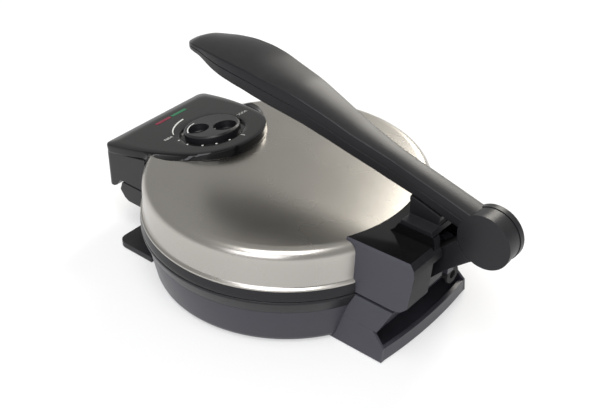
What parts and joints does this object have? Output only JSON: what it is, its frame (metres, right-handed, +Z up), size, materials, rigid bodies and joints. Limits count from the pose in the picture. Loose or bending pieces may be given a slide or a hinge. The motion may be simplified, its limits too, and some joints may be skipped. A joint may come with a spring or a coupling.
{
  "type": "electric roti maker",
  "caption": "Electric roti maker: round hinged cooker with a stainless lid, dial panel in front and a long press lever pivoted on a barrel behind the hinge.",
  "frame": {"origin": "bottom centre of the whole machine's box, on the worktop under the feet", "axes": "+Z up, -Y towards the control panel and the user, +Y towards the hinge and the lever's barrel, +X to the user's right"},
  "size_m": [0.236, 0.357, 0.1785],
  "materials": {
    "base_plastic": "satin moulded",
    "dark_plastic": "fine matte",
    "gloss_plastic": "glossy",
    "lever_plastic": "fine matte",
    "stainless": "fine brushed",
    "plate_coat": "non-stick coated casting",
    "element_steel": "oxidised",
    "sheet_steel": "galvanised sheet",
    "screw_steel": "zinc plated",
    "rubber": "matte",
    "red_lens": "translucent red",
    "green_lens": "translucent green",
    "lamp_glass": "clear",
    "board": "matte",
    "ceramic_body": "matte, heat resistant",
    "nylon": "natural"
  },
  "bodies": {
    "base": {"base_shell": "base_plastic", "base_rim": "dark_plastic", "bottom_cover": "sheet_steel", "front_foot": "dark_plastic", "front_ledge": "dark_plastic", "rear_foot": "base_plastic", "rear_block": "base_plastic", "rubber_feet": "rubber", "lower_plate": "plate_coat", "lower_element": "element_steel", "lower_heat_shield": "sheet_steel", "lower_plate_screws": "screw_steel", "lower_shield_screws": "screw_steel", "bottom_cover_screws": "screw_steel", "terminal_block": "ceramic_body", "thermal_fuse": "ceramic_body", "cord_gland": "rubber", "hinge_pin": "screw_steel", "hinge_clips": "screw_steel", "lever_bracket": "dark_plastic", "bracket_screws": "screw_steel", "barrel_pin": "screw_steel"},
    "lid": {"lid_ring": "dark_plastic", "lid_cover": "stainless", "upper_plate": "plate_coat", "upper_element": "element_steel", "upper_heat_shield": "sheet_steel", "upper_plate_screws": "screw_steel", "upper_shield_screws": "screw_steel", "front_handle": "dark_plastic", "handle_screws": "screw_steel", "control_panel": "gloss_plastic", "power_lens": "red_lens", "ready_lens": "green_lens", "lamps": "lamp_glass", "lamp_board": "board", "thermostat": "ceramic_body", "thermostat_bracket": "sheet_steel", "hinge_hood": "gloss_plastic", "hood_screws": "screw_steel"},
    "dial": {"knob": "dark_plastic", "thermostat_shaft": "screw_steel"},
    "lever": {"lever_sleeve": "nylon", "barrel_caps": "dark_plastic", "lever_core": "sheet_steel", "lever_top_shell": "lever_plastic", "lever_bottom_shell": "lever_plastic", "lever_screws": "screw_steel", "press_pad": "lever_plastic"}
  },
  "joints": [
    {"name": "lid_hinge", "type": "hinge", "parent": "base", "child": "lid", "pos_m": [0, 0.1109, 0.07], "axis": [-1, 0, 0], "range_deg": [0, 80]},
    {"name": "dial_turn", "type": "hinge", "parent": "lid", "child": "dial", "pos_m": [0, -0.10831, 0.09044], "axis": [0, -0.1908, 0.9816], "range_deg": [0, 250]},
    {"name": "lever_follow", "type": "hinge", "parent": "base", "child": "lever", "pos_m": [0, 0.1572, 0.1061], "axis": [-1, 0, 0], "range_deg": [0, 88]}
  ],
  "couplings": [
    {"joint": "lever_follow", "follows": "lid_hinge", "ratio": 1.1}
  ]
}
